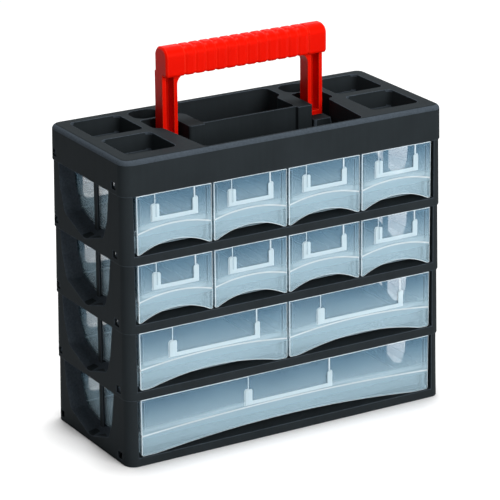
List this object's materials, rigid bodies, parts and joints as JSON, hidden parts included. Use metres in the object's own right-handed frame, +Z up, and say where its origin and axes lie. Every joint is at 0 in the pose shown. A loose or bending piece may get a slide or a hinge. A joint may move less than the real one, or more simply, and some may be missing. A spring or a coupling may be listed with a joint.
{
  "type": "compartment tool case",
  "caption": "Upright tool case of stacked frames with see-through drawers in three widths, a compartment tray on top and a fixed carrying handle.",
  "frame": {"origin": "middle of the case's foot, on the surface that it stands on", "axes": "+Z up, +X to the right as seen from the drawer fronts, +Y to the back"},
  "size_m": [0.305, 0.1306, 0.3277],
  "materials": {
    "case_plastic": "matt charcoal black, finely textured",
    "drawer_plastic": "frosted see-through, pale blue-grey",
    "handle_plastic": "smooth bright red"
  },
  "bodies": {
    "case": {"frame_bottom": "case_plastic", "frame_lower": "case_plastic", "frame_upper": "case_plastic", "frame_top": "case_plastic", "tray": "case_plastic", "handle": "handle_plastic"},
    "drawer_large_bottom": {"drawer_large_bottom": "drawer_plastic"},
    "drawer_medium_lower_1": {"drawer_medium_lower_1": "drawer_plastic"},
    "drawer_medium_lower_2": {"drawer_medium_lower_2": "drawer_plastic"},
    "drawer_small_upper_1": {"drawer_small_upper_1": "drawer_plastic"},
    "drawer_small_upper_2": {"drawer_small_upper_2": "drawer_plastic"},
    "drawer_small_upper_3": {"drawer_small_upper_3": "drawer_plastic"},
    "drawer_small_upper_4": {"drawer_small_upper_4": "drawer_plastic"},
    "drawer_small_top_1": {"drawer_small_top_1": "drawer_plastic"},
    "drawer_small_top_2": {"drawer_small_top_2": "drawer_plastic"},
    "drawer_small_top_3": {"drawer_small_top_3": "drawer_plastic"},
    "drawer_small_top_4": {"drawer_small_top_4": "drawer_plastic"}
  },
  "joints": [
    {"name": "drawer_large_bottom_slide", "type": "slide", "parent": "case", "child": "drawer_large_bottom", "axis": [0, -1, 0], "range_m": [0, 0.095]},
    {"name": "drawer_medium_lower_1_slide", "type": "slide", "parent": "case", "child": "drawer_medium_lower_1", "axis": [0, -1, 0], "range_m": [0, 0.095]},
    {"name": "drawer_medium_lower_2_slide", "type": "slide", "parent": "case", "child": "drawer_medium_lower_2", "axis": [0, -1, 0], "range_m": [0, 0.095]},
    {"name": "drawer_small_upper_1_slide", "type": "slide", "parent": "case", "child": "drawer_small_upper_1", "axis": [0, -1, 0], "range_m": [0, 0.095]},
    {"name": "drawer_small_upper_2_slide", "type": "slide", "parent": "case", "child": "drawer_small_upper_2", "axis": [0, -1, 0], "range_m": [0, 0.095]},
    {"name": "drawer_small_upper_3_slide", "type": "slide", "parent": "case", "child": "drawer_small_upper_3", "axis": [0, -1, 0], "range_m": [0, 0.095]},
    {"name": "drawer_small_upper_4_slide", "type": "slide", "parent": "case", "child": "drawer_small_upper_4", "axis": [0, -1, 0], "range_m": [0, 0.095]},
    {"name": "drawer_small_top_1_slide", "type": "slide", "parent": "case", "child": "drawer_small_top_1", "axis": [0, -1, 0], "range_m": [0, 0.095]},
    {"name": "drawer_small_top_2_slide", "type": "slide", "parent": "case", "child": "drawer_small_top_2", "axis": [0, -1, 0], "range_m": [0, 0.095]},
    {"name": "drawer_small_top_3_slide", "type": "slide", "parent": "case", "child": "drawer_small_top_3", "axis": [0, -1, 0], "range_m": [0, 0.095]},
    {"name": "drawer_small_top_4_slide", "type": "slide", "parent": "case", "child": "drawer_small_top_4", "axis": [0, -1, 0], "range_m": [0, 0.095]}
  ]
}
